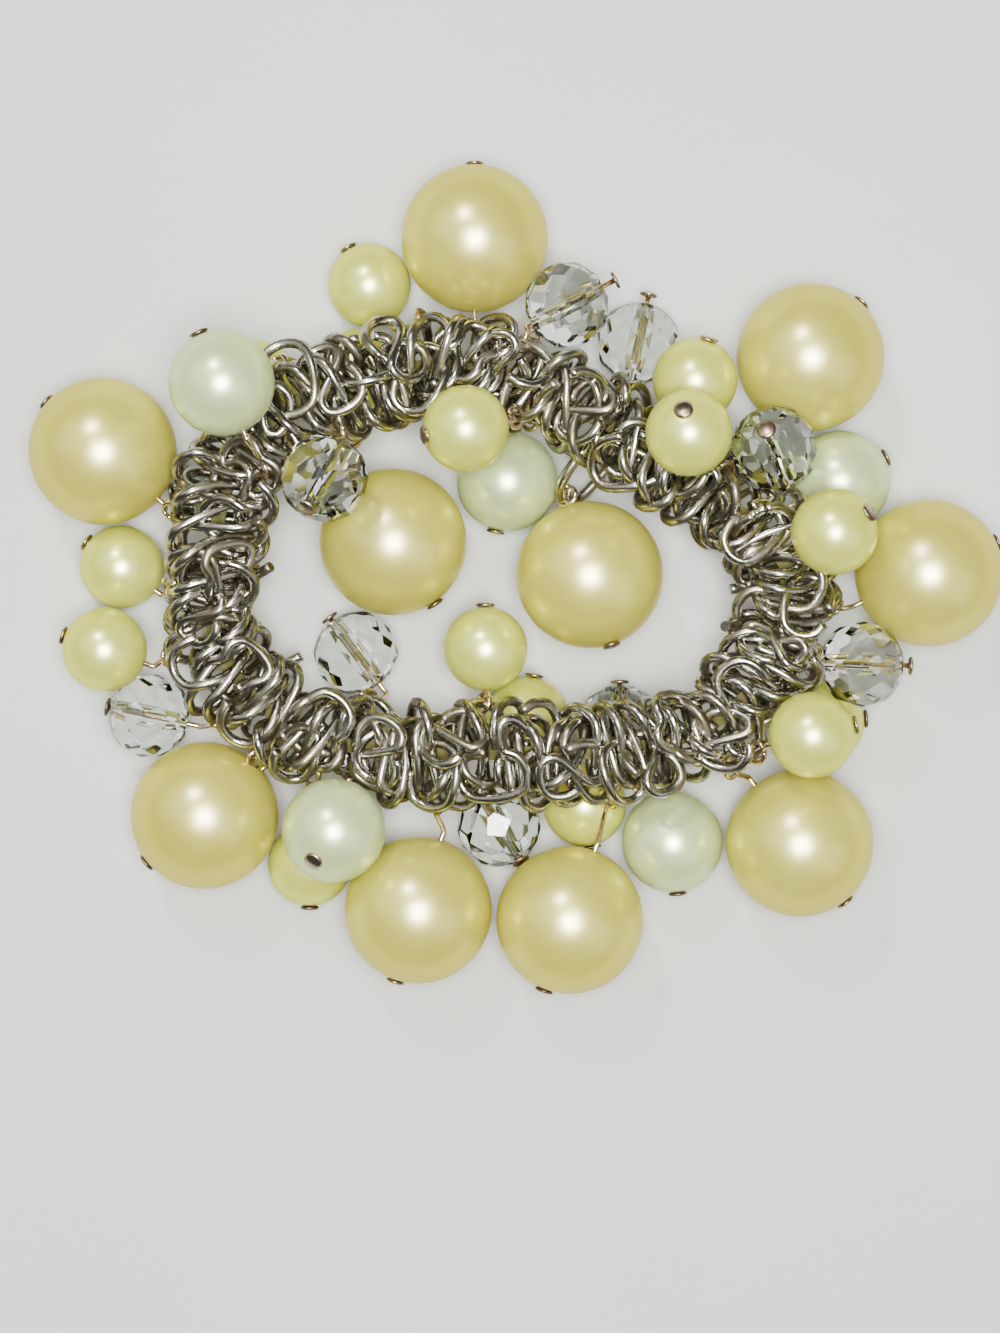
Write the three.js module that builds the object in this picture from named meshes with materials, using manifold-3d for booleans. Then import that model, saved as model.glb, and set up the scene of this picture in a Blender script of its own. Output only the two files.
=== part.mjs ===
// A charm bracelet: pearls of three sizes and clear cut crystals on head pins, hooked to
// bent wire links that are packed along a flat elastic. It lies on its side on a table, as a
// whole loop. Millimetres, +Z up, the table at Z = 0 and the middle of the bracelet over 0, 0.

import * as THREE from "three";
import { mergeVertices } from "three/addons/utils/BufferGeometryUtils.js";
import Module from "manifold-3d";

const wasm = await Module();
wasm.setup();

// Beads: diameters, the flat ring at each end of a crystal, and the hole through a bead
const LARGE_PEARL = 14;
const WHITE_PEARL = 9.7;
const SMALL_PEARL = 8;
const CRYSTAL = 8.1;
const CRYSTAL_TABLE = 3.6;
const BORE = 1.15;

// Head pins: wire, flat head, the bend that holds a link, the straight neck out of the bead,
// and how much further a pin reaches rather than cross a link
const PIN_WIRE = 0.5;
const PIN_HEAD = 1.8;
const PIN_HEAD_THICKNESS = 0.4;
const PIN_LOOP = 2.6;
const PIN_NECK = 0.8;
const CROSSING_COST = 8;

// Oval links, leaning forwards and back in turn along the elastic
const LINK_WIRE = 1;
const LINK_LENGTH = 9.4;
const LINK_WIDTH = 6;
const LINK_PITCH = 3.2;
const LINK_LEAN = 50;
const LINK_ROLL = 30;

// What a link may add to its roll in degrees, slide across the elastic as a share of its wire,
// and slide along it as a share of its pitch, to lie clear of the beads
const LINK_TURNS = [0, -8, 8, -16, 16, -24, 24, -36, 36, -48, 48];
const LINK_SHIFTS = [0.4, -0.4, 0, 0.8, -0.8, 1.3, -1.3];
const LINK_SLIDES = [0, -0.1, 0.1, 0.2, -0.2];

// Elastic and the loop that it makes, between the middles of the links
const ELASTIC_WIDTH = 1.3;
const ELASTIC_THICKNESS = 0.9;
const LOOP_LENGTH = 55;
const LOOP_WIDTH = 37;
const LOOP_SAG = 2;

// Room between pieces that touch on the real bracelet, and how far joined wires overlap
const GAP = 0.3;
const JOIN = 0.2;

// Sides of the faceted solids
const LINK_WIRE_SIDES = 5;
const LINK_SIDES = 10;
const HEAD_SIDES = 5;
const PIN_SIDES = 4;
const HOOK_STEPS = 3;
const HOOK_TURN = 180;
const ELASTIC_STEPS = 40;
const SPREAD_ROUNDS = 80;
const MERGE_WITHIN = 0.002;
const WELD_WITHIN = 0.01;
const SLIVER = 0.005;

// Each kind of bead: its diameter, its sides, and its bands from one end to the other
const KINDS = {
  large_pearl: { diameter: LARGE_PEARL, sides: 12, bands: 5, color: 0xe3d5a0 },
  white_pearl: { diameter: WHITE_PEARL, sides: 12, bands: 5, color: 0xdfe6d2 },
  small_pearl: { diameter: SMALL_PEARL, sides: 10, bands: 5, color: 0xe0dc96 },
  crystal: { diameter: CRYSTAL, sides: 8, bands: 3, table: CRYSTAL_TABLE, color: 0xe8eef0 },
};

// The middle of the links seen from above, clockwise from the left: shares of half the loop's
// length and width, and how far it sags there, as a share of LOOP_SAG.
const ROUTE = [
  { x: -0.96, y: 0, sag: 0.3 },
  { x: -0.95, y: 0.26, sag: 0 },
  { x: -0.89, y: 0.48, sag: 0 },
  { x: -0.79, y: 0.67, sag: 0 },
  { x: -0.67, y: 0.79, sag: 0 },
  { x: -0.46, y: 0.88, sag: 0 },
  { x: -0.235, y: 0.97, sag: 0.4 },
  { x: -0.08, y: 0.99, sag: 0.9 },
  { x: 0.1, y: 0.88, sag: 1 },
  { x: 0.36, y: 0.69, sag: 1 },
  { x: 0.53, y: 0.53, sag: 0.7 },
  { x: 0.7, y: 0.36, sag: 0.7 },
  { x: 0.85, y: 0.2, sag: 0.8 },
  { x: 0.96, y: 0.04, sag: 1 },
  { x: 1, y: -0.15, sag: 1 },
  { x: 0.98, y: -0.34, sag: 0.7 },
  { x: 0.93, y: -0.52, sag: 0.4 },
  { x: 0.85, y: -0.72, sag: 0.3 },
  { x: 0.69, y: -0.89, sag: 0.1 },
  { x: 0.5, y: -0.97, sag: 0 },
  { x: 0.26, y: -1, sag: 0 },
  { x: 0, y: -1, sag: 0 },
  { x: -0.25, y: -1, sag: 0.6 },
  { x: -0.48, y: -0.97, sag: 1 },
  { x: -0.67, y: -0.9, sag: 1 },
  { x: -0.79, y: -0.79, sag: 1 },
  { x: -0.89, y: -0.65, sag: 1 },
  { x: -0.97, y: -0.44, sag: 1 },
  { x: -0.99, y: -0.22, sag: 0.8 },
];

// Beads that lie on the table: the place seen from above as shares of half the loop's length
// and width, the way the pin's head points, in degrees round from +X, and how many degrees the
// head tips up.
const TABLE_BEADS = [
  { name: "large_pearl_1", x: -0.085, y: 1.64, heading: 90, tip: 0 },
  { name: "large_pearl_2", x: 1.08, y: 1.03, heading: 47, tip: 0 },
  { name: "large_pearl_3", x: 1.49, y: -0.08, heading: 24, tip: 0 },
  { name: "large_pearl_4", x: 1.04, y: -1.47, heading: -52, tip: 0 },
  { name: "large_pearl_5", x: 0.25, y: -1.84, heading: 250, tip: 0 },
  { name: "large_pearl_6", x: -0.275, y: -1.81, heading: 252, tip: 0 },
  { name: "large_pearl_7", x: -1.015, y: -1.33, heading: 219, tip: 0 },
  { name: "large_pearl_8", x: -1.365, y: 0.54, heading: 139, tip: 0 },
  { name: "large_pearl_9", x: -0.365, y: 0.08, heading: 304, tip: 0 },
  { name: "large_pearl_10", x: 0.315, y: -0.09, heading: 287, tip: 10 },
  { name: "white_pearl_2", x: 0.03, y: 0.4, heading: 257, tip: 0 },
  { name: "white_pearl_3", x: 1.19, y: 0.4, heading: 27, tip: 0 },
  { name: "white_pearl_4", x: 0.6, y: -1.47, heading: 276, tip: 0 },
  { name: "small_pearl_1", x: -0.45, y: 1.42, heading: 120, tip: 0 },
  { name: "small_pearl_2", x: -0.49, y: 0.98, heading: 160, tip: 0 },
  { name: "small_pearl_3", x: -0.85, y: 0.92, heading: 200, tip: 0 },
  { name: "small_pearl_9", x: 1.135, y: -0.85, heading: 4, tip: 0 },
  { name: "small_pearl_11", x: 0.1, y: -0.83, heading: 80, tip: 0 },
  { name: "small_pearl_12", x: 0.31, y: -1.29, heading: 280, tip: 0 },
  { name: "small_pearl_13", x: -0.665, y: -1.59, heading: 270, tip: 0 },
  { name: "small_pearl_14", x: -1.32, y: -0.04, heading: 145, tip: 0 },
  { name: "crystal_2", x: 0.49, y: 1.12, heading: 78, tip: 0 },
  { name: "crystal_6", x: -0.5, y: -0.49, heading: 127, tip: 0 },
  { name: "crystal_7", x: -1.22, y: -0.82, heading: 168, tip: 0 },
  { name: "crystal_8", x: 0, y: -1.395, heading: 302, tip: 20 },
  { name: "crystal_9", x: -1, y: 0.355, heading: 180, tip: 0 },
  { name: "crystal_10", x: 0.42, y: -0.885, heading: 90, tip: 0 },
];

// Beads that lean on those, the lowest first
const LEANING_BEADS = [
  { name: "small_pearl_10", x: -0.045, y: -0.47, heading: 90, tip: 0 },
  { name: "small_pearl_15", x: -1.36, y: -0.475, heading: 161, tip: 0 },
  { name: "crystal_1", x: 0.235, y: 1.28, heading: 27, tip: 5 },
  { name: "small_pearl_5", x: 0.675, y: 0.9, heading: 72, tip: 16 },
  { name: "crystal_4", x: 1.245, y: -0.55, heading: -2, tip: 0 },
  { name: "crystal_3", x: 0.935, y: 0.535, heading: 126, tip: 64 },
  { name: "white_pearl_5", x: -0.56, y: -1.39, heading: 238, tip: 52 },
];

// Beads that lie on the links
const TOP_BEADS = [
  { name: "white_pearl_1", x: -0.92, y: 0.84, heading: 114, tip: 5 },
  { name: "small_pearl_4", x: -0.11, y: 0.625, heading: 192, tip: 22 },
  { name: "small_pearl_6", x: 0.637, y: 0.6, heading: 112, tip: 62 },
  { name: "small_pearl_7", x: 1.13, y: 0.11, heading: 30, tip: 35 },
  { name: "small_pearl_8", x: 1.055, y: -0.905, heading: 13, tip: 5 },
  { name: "crystal_5", x: -0.58, y: 0.37, heading: 243, tip: 39 },
];

const UP = new THREE.Vector3(0, 0, 1);
const radians = THREE.MathUtils.degToRad;

// A wire's middle line through its corners, so that an extrusion takes one step to each.
class Corners extends THREE.Curve {
  constructor(points) {
    super();
    this.points = points;
  }
  index(share) {
    return Math.round(share * (this.points.length - 1));
  }
  getPointAt(share) {
    return this.points[this.index(share)].clone();
  }
  getTangentAt(share) {
    const here = this.index(share);
    const tangent = new THREE.Vector3();
    for (const end of [here, here + 1]) {
      if (end < 1 || end >= this.points.length) continue;
      const step = this.points[end].clone().sub(this.points[end - 1]);
      tangent.add(step.normalize());
    }
    return tangent.normalize();
  }
}

function solidFrom(geometry, mergeWithin = MERGE_WITHIN) {
  const bare = geometry.index ? geometry.toNonIndexed() : geometry.clone();
  bare.deleteAttribute("normal");
  bare.deleteAttribute("uv");
  const merged = mergeVertices(bare, mergeWithin);
  const corners = merged.index.array;
  const faces = [];
  for (let i = 0; i < corners.length; i += 3) {
    const face = corners.slice(i, i + 3);
    if (new Set(face).size === 3) faces.push(...face);
  }
  return new wasm.Manifold(
    new wasm.Mesh({
      numProp: 3,
      vertProperties: merged.attributes.position.array,
      triVerts: new Uint32Array(faces),
    }),
  );
}

function geometryFrom(solid) {
  const { vertProperties, triVerts } = solid.getMesh();
  const geometry = new THREE.BufferGeometry();
  geometry.setAttribute("position", new THREE.BufferAttribute(vertProperties, 3));
  geometry.setIndex(new THREE.BufferAttribute(triVerts, 1));
  geometry.computeVertexNormals();
  return geometry;
}

// One body of many. Faces that cross leave slivers too thin for a solid: these are merged away.
function joined(solids) {
  const whole = solids.reduce((sum, solid) => sum.add(solid));
  const plain = geometryFrom(whole.asOriginal().simplify(SLIVER));
  return solidFrom(plain, WELD_WITHIN).asOriginal().simplify(SLIVER);
}

// The link with its long way across the elastic, rolled up or down and leaning along it
const linkBend = (LINK_WIDTH - LINK_WIRE) / 2;
const linkReach = (LINK_LENGTH - LINK_WIRE) / 2;
const linkHalfHeight = linkBend * Math.cos(radians(LINK_LEAN)) + LINK_WIRE / 2;
const routeHeight = SMALL_PEARL + GAP + linkHalfHeight;

const route = new THREE.CatmullRomCurve3(
  ROUTE.map(
    ({ x, y, sag }) =>
      new THREE.Vector3(
        (x * LOOP_LENGTH) / 2,
        (y * LOOP_WIDTH) / 2,
        routeHeight - sag * LOOP_SAG,
      ),
  ),
  true,
);

const routePoints = route.getSpacedPoints(Math.round(route.getLength() / LINK_WIRE));

// The route's directions at a share of its length: along it, up and out of the loop.
function routeFrame(share) {
  const turn = share - Math.floor(share);
  const forward = route.getTangentAt(turn);
  const outward = UP.clone().cross(forward).normalize();
  const up = forward.clone().cross(outward);
  return { point: route.getPointAt(turn), forward, up, outward };
}

// A pin's wire through its corners
function wireGeometry(corners) {
  const section = new THREE.Shape();
  for (let side = 0; side < PIN_SIDES; side++) {
    const turn = (2 * Math.PI * side) / PIN_SIDES;
    const x = (PIN_WIRE / 2) * Math.cos(turn);
    const y = (PIN_WIRE / 2) * Math.sin(turn);
    if (side === 0) section.moveTo(x, y);
    else section.lineTo(x, y);
  }
  return new THREE.ExtrudeGeometry(section, {
    steps: corners.length - 1,
    extrudePath: new Corners(corners),
  });
}

// A ring of wire pulled out into an oval, its long way on X
function ovalGeometry() {
  const oval = new THREE.TorusGeometry(linkBend, LINK_WIRE / 2, LINK_WIRE_SIDES, LINK_SIDES);
  const place = oval.attributes.position;
  for (let i = 0; i < place.count; i++) {
    const x = place.getX(i);
    place.setX(i, x + Math.sign(x) * (linkReach - linkBend));
  }
  return oval;
}

// A bead's half profile from one end of its hole to the other, and back along the hole
function beadProfile({ diameter, bands, table }) {
  const radius = diameter / 2;
  const first = Math.asin((table ?? BORE) / diameter);
  const profile = [];
  for (let band = 0; band <= bands; band++) {
    const turn = first + ((Math.PI - 2 * first) * band) / bands;
    profile.push(new THREE.Vector2(radius * Math.sin(turn), -radius * Math.cos(turn)));
  }
  if (table) {
    profile.unshift(new THREE.Vector2(BORE / 2, profile[0].y));
    profile.push(new THREE.Vector2(BORE / 2, profile.at(-1).y));
  }
  profile.push(profile[0].clone());
  return profile;
}

function beadGeometry(kind) {
  const bead = new THREE.LatheGeometry(beadProfile(kind), kind.sides);
  return bead.rotateY(-Math.PI / kind.sides);
}

// Turns a bead so that its hole follows the pin and one row of facets looks down.
function beadTurn(toward) {
  const down = UP.clone().negate();
  down.addScaledVector(toward, -down.dot(toward)).normalize();
  const side = toward.clone().cross(down);
  return new THREE.Matrix4().makeBasis(side, toward, down);
}

function directionOf({ heading, tip }) {
  return new THREE.Vector3(
    Math.cos(radians(heading)) * Math.cos(radians(tip)),
    Math.sin(radians(heading)) * Math.cos(radians(tip)),
    Math.sin(radians(tip)),
  );
}

// From the middle of a bead on the table down to its lowest facet or corner
function tableHeight(kind, toward) {
  const bead = beadGeometry(kind).applyMatrix4(beadTurn(toward));
  bead.computeBoundingBox();
  return -bead.boundingBox.min.z;
}

// The lowest height at which a bead clears the table and every ball below it
function restHeight(bead, balls) {
  let height = bead.middle.z;
  for (const ball of balls) {
    const reach = bead.radius + ball.radius + GAP;
    const apart = Math.hypot(bead.middle.x - ball.middle.x, bead.middle.y - ball.middle.y);
    if (apart >= reach) continue;
    height = Math.max(height, ball.middle.z + Math.sqrt(reach ** 2 - apart ** 2));
  }
  return height;
}

function beadOf(row) {
  const kind = KINDS[row.name.replace(/_\d+$/, "")];
  const x = (row.x * LOOP_LENGTH) / 2;
  const y = (row.y * LOOP_WIDTH) / 2;
  const toward = directionOf(row);
  return {
    name: row.name,
    kind,
    radius: kind.diameter / 2,
    middle: new THREE.Vector3(x, y, tableHeight(kind, toward)),
    toward,
  };
}

// Beads on the table roll aside until none of them presses on another.
function spreadBeads(rows) {
  const beads = rows.map(beadOf);
  for (let round = 0; round < SPREAD_ROUNDS; round++) {
    for (const [i, bead] of beads.entries()) {
      for (const other of beads.slice(0, i)) {
        const away = bead.middle.clone().sub(other.middle);
        const press = bead.radius + other.radius + GAP - away.length();
        if (press <= 0) continue;
        away.setZ(0).setLength(press / 2);
        bead.middle.add(away);
        other.middle.sub(away);
      }
    }
  }
  return beads;
}

function dropBeads(rows, beads, wires) {
  for (const row of rows) {
    const bead = beadOf(row);
    bead.middle.setZ(restHeight(bead, [...beads, ...wires]));
    beads.push(bead);
  }
}

// An oval link on the route: its directions, the middle of its wire, and its two round ends
function linkAt(share, roll, shift, lean) {
  const { point, forward, up, outward } = routeFrame(share);
  const long = outward.clone().multiplyScalar(Math.cos(roll));
  long.addScaledVector(up, Math.sin(roll));
  const upright = forward.clone().cross(long).negate();
  const wide = upright.multiplyScalar(Math.cos(lean)).addScaledVector(forward, Math.sin(lean));
  const middle = point.clone().addScaledVector(long, shift);
  const wire = [];
  const steps = LINK_SIDES * 4;
  for (let step = 0; step < steps; step++) {
    const turn = (2 * Math.PI * step) / steps;
    const across = linkBend * Math.cos(turn);
    const along = across + Math.sign(across) * (linkReach - linkBend);
    const place = middle.clone().addScaledVector(long, along);
    wire.push(place.addScaledVector(wide, linkBend * Math.sin(turn)));
  }
  const hooks = [1, -1].map((end) => ({
    place: middle.clone().addScaledVector(long, end * linkReach),
    wide,
    used: false,
  }));
  return { middle, long, wide, wire, hooks };
}

function clearOfBeads(points, radius, beads) {
  return beads.every((bead) =>
    points.every((point) => point.distanceTo(bead.middle) > bead.radius + radius + GAP / 2),
  );
}

function clearOfElastic(points, radius) {
  const reach = Math.hypot(ELASTIC_WIDTH, ELASTIC_THICKNESS) / 2 + radius;
  return wireDistance(points, routePoints) > reach;
}

// The least distance between the middles of two wires, by their points
function wireDistance(wire, other) {
  let least = Infinity;
  for (const point of wire) {
    for (const place of other) least = Math.min(least, point.distanceToSquared(place));
  }
  return Math.sqrt(least);
}

// Links turn and slide on the elastic until each lies clear of the beads and just holds the
// link before it.
function placeLinks(beads) {
  const count = 2 * Math.round(route.getLength() / LINK_PITCH / 2);
  const held = LINK_WIRE - JOIN;
  const links = [];
  for (let i = 0; i < count; i++) {
    const side = i % 2 ? -1 : 1;
    const neighbours = [links[i - 1], i === count - 1 ? links[0] : undefined].filter(Boolean);
    let best = null;
    for (const more of LINK_TURNS) {
      for (const shift of LINK_SHIFTS) {
        for (const slide of LINK_SLIDES) {
          const roll = radians(side * LINK_ROLL + more);
          const across = shift * LINK_WIRE;
          const link = linkAt((i + slide) / count, roll, across, radians(side * LINK_LEAN));
          if (!clearOfBeads(link.wire, LINK_WIRE / 2, beads)) continue;
          if (!clearOfElastic(link.wire, LINK_WIRE / 2)) continue;
          const miss = neighbours.map((other) =>
            Math.abs(wireDistance(link.wire, other.wire) - held),
          );
          const worst = Math.max(0, ...miss);
          if (!best || worst < best.worst) best = { link, worst };
        }
      }
    }
    if (!best) throw new Error("no room for a link at " + i);
    links.push(best.link);
  }
  return links;
}

// A head pin's hook round the end of a link, starting at the side of the bead
function hookRound(hook, neck, way) {
  const loopRadius = (PIN_LOOP - PIN_WIRE) / 2;
  const pull = neck.clone().sub(hook.place).normalize();
  const middle = hook.place.clone();
  middle.addScaledVector(pull, loopRadius - (LINK_WIRE + PIN_WIRE) / 2 + JOIN);
  const axis = hook.wide.clone().addScaledVector(pull, -hook.wide.dot(pull)).normalize();
  const loop = [];
  for (let step = 0; step <= HOOK_STEPS; step++) {
    const turn = (way * radians(HOOK_TURN) * step) / HOOK_STEPS;
    const spoke = pull.clone().applyAxisAngle(axis, turn);
    loop.push(middle.clone().addScaledVector(spoke, loopRadius));
  }
  return loop;
}

// Points along a line of corners, close enough to measure from
function filled(corners) {
  return corners.slice(1).flatMap((corner, i) =>
    [0.25, 0.5, 0.75, 1].map((share) => corners[i].clone().lerp(corner, share)),
  );
}

// A head pin: through the bead, then to a free end of a link near by and round it
function pinCorners(bead, links, beads) {
  const neck = bead.middle.clone().addScaledVector(bead.toward, -bead.radius - PIN_NECK);
  const touching = (LINK_WIRE + PIN_WIRE) / 2;
  let best = null;
  for (const link of links) {
    const crossed = links.filter((other) => other !== link);
    for (const hook of link.hooks.filter(({ used }) => !used)) {
      const length = hook.place.distanceTo(neck);
      if (best && length >= best.cost) continue;
      for (const way of [1, -1]) {
        const loop = hookRound(hook, neck, way);
        const bare = filled([neck, ...loop]);
        if (!clearOfBeads(bare, PIN_WIRE / 2, beads)) continue;
        if (!clearOfElastic(bare, PIN_WIRE / 2)) continue;
        const crossings = crossed.filter(({ wire }) => wireDistance(bare, wire) < touching);
        const cost = length + CROSSING_COST * crossings.length;
        if (!best || cost < best.cost) best = { cost, hook, loop };
      }
    }
  }
  if (!best) throw new Error("no free link end for " + bead.name);
  best.hook.used = true;
  const start = bead.middle.clone();
  start.addScaledVector(bead.toward, bead.radius + GAP + PIN_HEAD_THICKNESS / 2);
  return [start, neck, ...best.loop];
}

function headGeometry(bead) {
  const head = new THREE.CylinderGeometry(
    PIN_HEAD / 2,
    PIN_HEAD / 2,
    PIN_HEAD_THICKNESS,
    HEAD_SIDES,
  );
  head.translate(0, bead.radius + GAP + PIN_HEAD_THICKNESS / 2, 0);
  head.applyMatrix4(beadTurn(bead.toward));
  return head.translate(...bead.middle);
}

// The elastic: a ring of four sides laid along the route
function elasticGeometry() {
  const halfWidth = ELASTIC_WIDTH / 2;
  const halfThickness = ELASTIC_THICKNESS / 2;
  const corners = [
    [-halfWidth, -halfThickness],
    [-halfWidth, halfThickness],
    [halfWidth, halfThickness],
    [halfWidth, -halfThickness],
    [-halfWidth, -halfThickness],
  ];
  const profile = corners.map(([out, up]) => new THREE.Vector2(LOOP_LENGTH + out, up));
  const ring = new THREE.LatheGeometry(profile, ELASTIC_STEPS);
  const place = ring.attributes.position;
  for (let i = 0; i < place.count; i++) {
    const step = Math.floor(i / profile.length) % ELASTIC_STEPS;
    const { point, up, outward } = routeFrame(step / ELASTIC_STEPS);
    const [out, height] = corners[i % profile.length];
    place.setXYZ(i, ...point.addScaledVector(outward, out).addScaledVector(up, height));
  }
  return ring;
}

function finish(color, roughness, metalness) {
  return new THREE.MeshStandardMaterial({ color, roughness, metalness });
}

function addMesh(group, name, geometry, material) {
  const mesh = new THREE.Mesh(geometry, material);
  mesh.name = name;
  group.add(mesh);
  return mesh;
}

const beads = spreadBeads(TABLE_BEADS);
dropBeads(LEANING_BEADS, beads, []);
const links = placeLinks(beads);
const linkBalls = links.flatMap((link) =>
  link.wire.map((middle) => ({ middle, radius: LINK_WIRE / 2 })),
);
dropBeads(TOP_BEADS, beads, linkBalls);

const bracelet = new THREE.Group();
for (const bead of beads) {
  const pearl = !bead.kind.table;
  const mesh = addMesh(
    bracelet,
    bead.name,
    beadGeometry(bead.kind),
    finish(bead.kind.color, pearl ? 0.25 : 0.05, 0),
  );
  mesh.quaternion.setFromRotationMatrix(beadTurn(bead.toward));
  mesh.position.copy(bead.middle);
}

const oval = ovalGeometry();
const ovals = links.map(({ middle, long, wide }) => {
  const turned = new THREE.Matrix4().makeBasis(long, wide, long.clone().cross(wide));
  return solidFrom(oval.clone().applyMatrix4(turned.setPosition(middle)));
});
const pins = beads.map((bead) =>
  solidFrom(wireGeometry(pinCorners(bead, links, beads))).add(
    solidFrom(headGeometry(bead)),
  ),
);
addMesh(
  bracelet,
  "links_and_head_pins",
  geometryFrom(joined([...ovals, ...pins])),
  finish(0x9a968c, 0.35, 1),
);
addMesh(bracelet, "elastic", elasticGeometry(), finish(0x8f8a3a, 0.7, 0));

// Over the origin, with the lowest facets on the table
const box = new THREE.Box3().setFromObject(bracelet, true);
const centre = box.getCenter(new THREE.Vector3());
bracelet.position.set(-centre.x, -centre.y, -box.min.z);

export default bracelet;
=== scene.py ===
# The looks of the pearl bracelet: smooth drilled pearls, cut crystals, bent wire links and
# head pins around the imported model. Metres, +Z up, the bracelet lying on a pale floor.

import math
import random

import bmesh
import bpy
import numpy as np
from mathutils import Matrix, Vector


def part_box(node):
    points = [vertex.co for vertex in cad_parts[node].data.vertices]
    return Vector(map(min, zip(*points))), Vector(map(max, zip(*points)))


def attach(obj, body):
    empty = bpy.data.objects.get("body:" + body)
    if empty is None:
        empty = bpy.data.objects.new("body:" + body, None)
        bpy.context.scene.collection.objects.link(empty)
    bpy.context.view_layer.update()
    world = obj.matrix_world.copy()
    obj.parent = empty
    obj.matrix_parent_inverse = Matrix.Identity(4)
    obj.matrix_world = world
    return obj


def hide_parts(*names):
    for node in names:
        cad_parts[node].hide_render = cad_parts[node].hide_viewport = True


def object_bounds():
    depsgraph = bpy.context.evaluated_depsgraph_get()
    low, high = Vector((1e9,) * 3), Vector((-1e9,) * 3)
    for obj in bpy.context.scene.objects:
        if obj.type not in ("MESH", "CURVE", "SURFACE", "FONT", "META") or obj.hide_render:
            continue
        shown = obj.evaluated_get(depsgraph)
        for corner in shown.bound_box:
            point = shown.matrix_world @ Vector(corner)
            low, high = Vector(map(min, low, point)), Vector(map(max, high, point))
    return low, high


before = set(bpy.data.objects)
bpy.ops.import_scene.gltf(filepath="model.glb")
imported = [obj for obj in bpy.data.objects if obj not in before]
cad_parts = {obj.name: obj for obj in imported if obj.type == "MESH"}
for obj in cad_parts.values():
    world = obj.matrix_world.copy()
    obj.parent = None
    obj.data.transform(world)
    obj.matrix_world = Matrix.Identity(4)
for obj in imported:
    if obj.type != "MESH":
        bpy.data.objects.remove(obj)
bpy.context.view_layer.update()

MM = 0.001

# Beads and their holes
LARGE_PEARL = 14 * MM
WHITE_PEARL = 9.7 * MM
SMALL_PEARL = 8 * MM
CRYSTAL = 8.1 * MM
CRYSTAL_TABLE = 3 * MM
HOLE = 0.95 * MM
HOLE_EDGE = 0.18 * MM
HOLE_SIDES = 12
PEARL_SIDES = 64
PEARL_BANDS = 36

# Wire links: the wire, the size outside, and how many lie along the elastic
LINK_WIRE = 1 * MM
LINK_LENGTH = 9.3 * MM
LINK_WIDTH = 5.9 * MM
LINKS = 116
LINK_TRIES = 90
LINK_ROOM = 0.08 * MM

# How a link may drift along the loop, as a share of the pitch, how it may turn, in degrees, and
# how far it may shift, stretch and bow
LINK_DRIFT = 0.3
LINK_ROLL = 34
LINK_LEAN = (30, 66)
LINK_YAW = (-8, 26)
LINK_SHIFT = 1 * MM
LINK_LENGTHS = (0.9, 1.03)
LINK_WIDTHS = (0.88, 1.04)
LINK_BOW = 0.35 * MM

# How many links back a new one is kept clear of, and what it costs to press on beads or elastic
NEAR_LINKS = 9
BEAD_COST = 40
ELASTIC_COST = 20

# Head pins, with the turn of their loops in degrees
PIN_WIRE = 0.52 * MM
PIN_LOOP = 2.5 * MM
PIN_NECK = 0.9 * MM
PIN_LOOP_STEPS = 11
PIN_LOOP_START = -12
PIN_LOOP_SWEEP = 345

# Where a pin's bend starts, as a share of its neck, how far its loop lies back from the link's
# end and how far off it must lie to show a straight neck, both as shares of the loop's radius
PIN_BEND_START = 0.3
PIN_LOOP_BACK = 0.35
PIN_STRAIGHT_NECK = 1.8

HEAD = 1.8 * MM
HEAD_THICKNESS = 0.35 * MM
HEAD_SIDES = 20

# Half the outline of a head, as shares of its radius and thickness
HEAD_OUTLINE = [(0, 0), (0.85, 0), (1, 0.3), (1, 0.65), (0.75, 0.95), (0, 1.1)]

# What it costs a pin to cross other beads, to share a link and to bend sharply at its neck
CROSSING_COST = 30
SHARING_COST = 3 * MM
BENDING_COST = 1.5 * MM

# The loop between the middles of the links, and the room that its elastic takes
LOOP_LENGTH = 55 * MM
LOOP_WIDTH = 37 * MM
LOOP_SAG = 2 * MM
ELASTIC_REACH = 0.8 * MM

# Steps of a smooth line from each chosen point to the next, on the route and on a bent wire
ROUTE_STEPS = 40
BEND_STEPS = 3

# The colour sockets of a Mix node, whose names are those of its other sockets too
MIX_FIRST, MIX_SECOND, MIX_RESULT = 6, 7, 2

# The photograph's view: the camera's height over the table and the point under it
CAMERA_HEIGHT = 270 * MM
CAMERA_OVER = (-1.74 * MM, -8.4 * MM)
SENSOR_HEIGHT = 24
FOCAL_SHARE = 2766 / 1333

# The middle of the links from above, clockwise from the left: shares of half the loop's length
# and width, and the sag as a share of LOOP_SAG
ROUTE = [
    (-0.96, 0, 0.3), (-0.95, 0.26, 0), (-0.89, 0.48, 0), (-0.79, 0.67, 0), (-0.67, 0.79, 0),
    (-0.46, 0.88, 0), (-0.235, 0.97, 0.4), (-0.08, 0.99, 0.9), (0.1, 0.88, 1), (0.36, 0.69, 1),
    (0.53, 0.53, 0.7), (0.7, 0.36, 0.7), (0.85, 0.2, 0.8), (0.96, 0.04, 1), (1, -0.15, 1),
    (0.98, -0.34, 0.7), (0.93, -0.52, 0.4), (0.85, -0.72, 0.3), (0.69, -0.89, 0.1),
    (0.5, -0.97, 0), (0.26, -1, 0), (0, -1, 0), (-0.25, -1, 0.6), (-0.48, -0.97, 1),
    (-0.67, -0.9, 1), (-0.79, -0.79, 1), (-0.89, -0.65, 1), (-0.97, -0.44, 1), (-0.99, -0.22, 0.8),
]

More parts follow.
